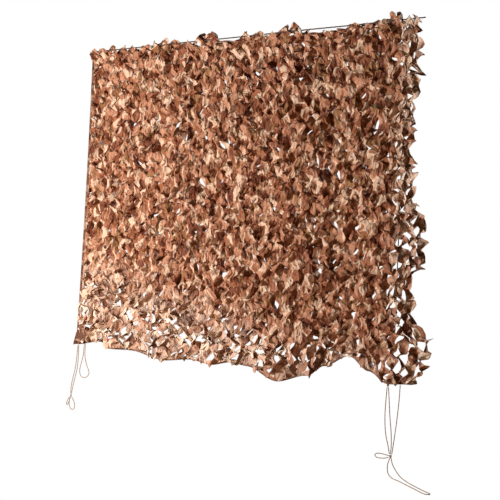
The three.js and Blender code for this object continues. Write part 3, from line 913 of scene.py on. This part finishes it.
def printed_cloth(name, pale=0.0, depth=1.0):
    """Polyester cloth with a camouflage print, paler on its reverse and deeper in the tapes, with
    light painted onto it: paler low on the cloth and at the free side, and lighter at cut edges.
    """
    dye = colours()
    material, tree, shader = new_material(name, 0.62, 0.05)
    flat = node(tree, "ShaderNodeUVMap", uv_map="flat").outputs["UV"]
    ground, pink, sand, dark, olive = (
        tuple(mix(c * depth, bare, pale) for c, bare in zip(shade, dye.bare))
        for shade in (dye.ground, dye.pink, dye.sand, dye.dark, dye.olive))
    colour = blend_colour(tree, patches(tree, flat, 11.0, 2, 0.50, 0.03), ground, pink)
    for over, offset, scale, threshold in (
            (olive, (3.1, 1.7, 0), 13.0, 0.62), (dark, (7.3, 4.9, 0), 12.0, 0.585),
            (sand, (1.9, 8.3, 0), 17.0, 0.585)):
        mask = patches(tree, shifted(tree, flat, offset), scale, 2, threshold, 0.02)
        colour = blend_colour(tree, mask, colour, over)
    painted_light, from_cut = (
        node(tree, "ShaderNodeAttribute", attribute_name=kind).outputs["Fac"]
        for kind in ("painted_light", "from_cut"))
    # Painted light: the print is mixed towards a pale colour low on the cloth and at the free side.
    colour = blend_colour(tree, scaled_by(tree, painted_light, 0.0, 0.55), colour, dye.painted_light)
    mottle = scaled_by(tree, patches(tree, flat, 60.0, 3, 0.5, 0.25), 0.86, 1.10)
    # Painted highlight: the print is painted up to 22% lighter within 4 mm of a cut edge.
    edge_highlight = scaled_by(tree, from_cut, 1.22, 1.0, top=0.004)
    tint = node(tree, "ShaderNodeVectorMath", {
        0: colour, "Scale": product(tree, mottle, edge_highlight)}, operation="SCALE")
    tree.links.new(tint.outputs[0], shader.inputs["Base Color"])
    weave_bump(tree, shader, flat, 0.0012, 0.35, 0.006)
    return material


def laid_rope(name, colour, roughness):
    """Rope or cord fibre: streaks that follow the lay."""
    material, tree, shader = new_material(name, roughness, 0.2)
    flat = node(tree, "ShaderNodeUVMap", uv_map="flat").outputs["UV"]
    streak = patches(tree, flat, 900.0, 3, 0.5, 0.2)
    light = tuple(min(1.0, c * 1.35) for c in colour)
    deep = tuple(c * 0.62 for c in colour)
    tree.links.new(blend_colour(tree, streak, deep, light), shader.inputs["Base Color"])
    weave_bump(tree, shader, flat, 0.0009, 0.5)
    return material


# ------------------------ pieces

class NET_OT_cloth(bpy.types.Operator):
    """Opens the slit-cut cloth into its lattice of twisted leaves."""

    bl_idname = "net.cloth"
    bl_label = "Slit-cut cloth"

    def execute(self, context):
        piece = build_sheet()
        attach(piece, "root")
        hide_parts("camouflage_sheet")
        return {"FINISHED"}


class NET_OT_trims(bpy.types.Operator):
    bl_idname = "net.trims"
    bl_label = "Bindings and stitches"

    def execute(self, context):
        finish = printed_cloth("binding", depth=0.42)
        thread, _, shader = new_material("thread", 0.6)
        shader.inputs["Base Color"].default_value = (*colours().thread, 1)
        low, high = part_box("hem_binding")
        across = np.linspace(low.x, high.x, 320)
        hem = hem_point(across)
        up = np.tile((0.0, 0.0, 1.0), (len(hem), 1))
        low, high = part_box("left_binding")
        z = np.linspace(low.z, high.z, 220)
        side = np.stack([left_line(-z) + 0.0018, 0 * z, z], axis=1)
        right = np.tile((1.0, 0.0, 0.0), (len(side), 1))
        made = []
        for name, path, into, seed in (("hem_binding", hem, up, 1.0),
                                       ("left_binding", side, right, 2.0)):
            piece, lines = folded_tape("net_" + name, path, into, seed)
            made.append((name, piece, lines))
        patch, line = corner_patch("net_corner_patch")
        made.append(("corner_patch", patch, [line]))
        for name, piece, lines in made:
            piece.data.materials.append(finish)
            sewing = sewn("net_" + name + "_stitches", lines, thread)
            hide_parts(name)
            for shown in (piece, sewing):
                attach(shown, "root")
        return {"FINISHED"}


class NET_OT_ropes(bpy.types.Operator):
    """Lays the two dark ropes that carry the cloth."""

    bl_idname = "net.ropes"
    bl_label = "Ropes"

    top_ends = (-0.986, 0.958)

    def execute(self, context):
        finish = laid_rope("dark_rope", colours().rope, 0.8)
        across = np.linspace(*self.top_ends, 40)
        sag = -0.0012 * np.sin((across - across[0]) * 5.0) ** 2
        top = np.stack([across, 0.0006 * np.sin(across * 11), sag], axis=1)
        for name, route, diameter in (("top_rope", top, 0.006),
                                      ("side_rope", np.array(SIDE_ROPE) * MM, 0.005)):
            lay_line(name, curve_through(route, 0.0025), diameter, 3, finish)
        return {"FINISHED"}


class NET_OT_ties(bpy.types.Operator):
    """Hangs the tie cords with their knots."""

    bl_idname = "net.ties"
    bl_label = "Tie cords"

    diameter = 0.004
    knot_share = 0.9  # thickness of the knots' cord to the diameter

    def execute(self, context):
        finish = laid_rope("tie_cord", colours().cord, 0.75)
        tied = {name: self.add_knot(name, finish) for name in KNOTS}
        for name, route in TIES.items():
            path = curve_through(np.array(route) * MM, 0.002)
            piece = lay_line(name, path, self.diameter, 4, finish)
        return {"FINISHED"}

    def add_knot(self, name, finish):
        """A closed overhand knot of cord that fills the box of its solid."""
        low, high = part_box(name)
        centre, reach = np.array((low + high) / 2), (high.x - low.x) / 2
        t = np.linspace(0, 2 * np.pi, 97)
        scale = (reach - self.knot_share * self.diameter / 2) / 3
        path = np.stack([np.sin(t) + 2 * np.sin(2 * t), -1.15 * np.sin(3 * t),
                         np.cos(t) - 2 * np.cos(2 * t)], axis=1) * scale + centre
        return lay_line(name, path, self.knot_share * self.diameter, 4, finish)


class NET_OT_stage(bpy.types.Operator):
    """Sets the camera, the two studio lamps, their soft fill and the pale floor."""

    bl_idname = "net.stage"
    bl_label = "Stage"

    camera_place = (3.2478, -4.0153, -0.9679)
    look_azimuth = 38.046
    roll = 2.4996
    pitch = -0.087
    focal_px = 1126.2
    picture_px = 500
    sensor_mm = 36
    floor_height = -1.8803
    floor_reach = 9.0
    floor_colour = (0.62, 0.40, 0.25)
    lamps = (("key", (-1.7, -2.9, -1.0), 184.0), ("back", (1.4, 2.6, 0.4), 70.0))
    lamp_size = 0.35
    lit_at = (-0.2, 0.0, -1.0)
    fill = 0.034
    fill_colour = (1.0, 0.52, 0.26)

    def execute(self, context):
        self.add_camera(context.scene)
        self.add_lights(context.scene)
        self.add_floor()
        return {"FINISHED"}

    def add_camera(self, scene):
        """Aims the camera by its azimuth and pitch, then rolls it."""
        data = bpy.data.cameras.new("camera")
        data.sensor_width = self.sensor_mm
        data.lens = self.sensor_mm * self.focal_px / self.picture_px
        camera = in_scene("camera", data)
        az, pitch, roll = (math.radians(v) for v in (self.look_azimuth, self.pitch, self.roll))
        ahead = Vector((-math.sin(az) * math.cos(pitch), math.cos(az) * math.cos(pitch),
                        math.sin(pitch)))
        level = Vector((math.cos(az), math.sin(az), 0))
        above = level.cross(ahead)
        right = level * math.cos(roll) + above * math.sin(roll)
        up = above * math.cos(roll) - level * math.sin(roll)
        turn = Matrix((right, up, -ahead)).transposed()
        camera.matrix_world = Matrix.Translation(self.camera_place) @ turn.to_4x4()
        scene.camera = camera

    def add_lights(self, scene):
        """Lights the net with two lamps and a warm fill; the camera sees a white backdrop."""
        world = bpy.data.worlds.new("studio")
        scene.world = world
        world.use_nodes = True
        tree = world.node_tree
        seen = tree.nodes["Background"]
        seen.inputs["Color"].default_value = (1.0, 1.0, 1.0, 1)
        fill = node(tree, "ShaderNodeBackground", {
            "Color": (*self.fill_colour, 1), "Strength": self.fill})
        self.camera_sees(tree, fill.outputs[0], seen.outputs[0],
                         tree.nodes["World Output"].inputs["Surface"])
        for name, place, power in self.lamps:
            data = bpy.data.lights.new(name, "AREA")
            data.energy = power
            data.size = self.lamp_size
            light = in_scene(name, data)
            light.location = place
            aim = Vector(self.lit_at) - light.location
            light.rotation_euler = aim.to_track_quat("-Z", "Y").to_euler()
        scene.view_settings.view_transform = "Standard"

    def camera_sees(self, tree, others, camera, into):
        """Lets the camera see one shader and every other ray another."""
        is_camera = node(tree, "ShaderNodeLightPath").outputs["Is Camera Ray"]
        switch = node(tree, "ShaderNodeMixShader", {0: is_camera, 1: others, 2: camera})
        tree.links.new(switch.outputs[0], into)

    def add_floor(self):
        """A flat floor that is white to the camera and tan to the light it throws back."""
        corners = [(x, y, self.floor_height) for x, y in ((-1, -1), (1, -1), (1, 1), (-1, 1))]
        points = [(self.floor_reach * x, self.floor_reach * y, z) for x, y, z in corners]
        floor = new_piece("floor", points, [(0, 1, 2, 3)])
        material, tree, shader = new_material("floor", 0.9)
        shader.inputs["Base Color"].default_value = (*self.floor_colour, 1)
        glow = node(tree, "ShaderNodeEmission")
        self.camera_sees(tree, shader.outputs[0], glow.outputs[0],
                         tree.nodes["Material Output"].inputs["Surface"])
        floor.data.materials.append(material)


class NET_PT_panel(bpy.types.Panel):
    """Lists the net's sizes, colours and pieces."""

    bl_label = "Camouflage net"
    bl_idname = "NET_PT_panel"
    bl_space_type = "VIEW_3D"
    bl_region_type = "UI"
    bl_category = "Net"

    def draw(self, context):
        for group in (context.scene.net_sizes, context.scene.net_colours):
            box = self.layout.box()
            for name in group.__annotations__:
                box.prop(group, name)
        for operator in OPERATORS:
            self.layout.operator(operator.bl_idname)


OPERATORS = (NET_OT_stage, NET_OT_cloth, NET_OT_trims, NET_OT_ropes, NET_OT_ties)
CLASSES = (NetSizes, NetColours, *OPERATORS, NET_PT_panel)


def register():
    for made in CLASSES:
        bpy.utils.register_class(made)
    bpy.types.Scene.net_sizes = bpy.props.PointerProperty(type=NetSizes)
    bpy.types.Scene.net_colours = bpy.props.PointerProperty(type=NetColours)


def unregister():
    del bpy.types.Scene.net_colours
    del bpy.types.Scene.net_sizes
    for made in reversed(CLASSES):
        bpy.utils.unregister_class(made)


def main():
    """Builds everything."""
    register()
    for operator in OPERATORS:
        group, name = operator.bl_idname.split(".")
        getattr(getattr(bpy.ops, group), name)()
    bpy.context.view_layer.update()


if __name__ == "__main__":
    main()
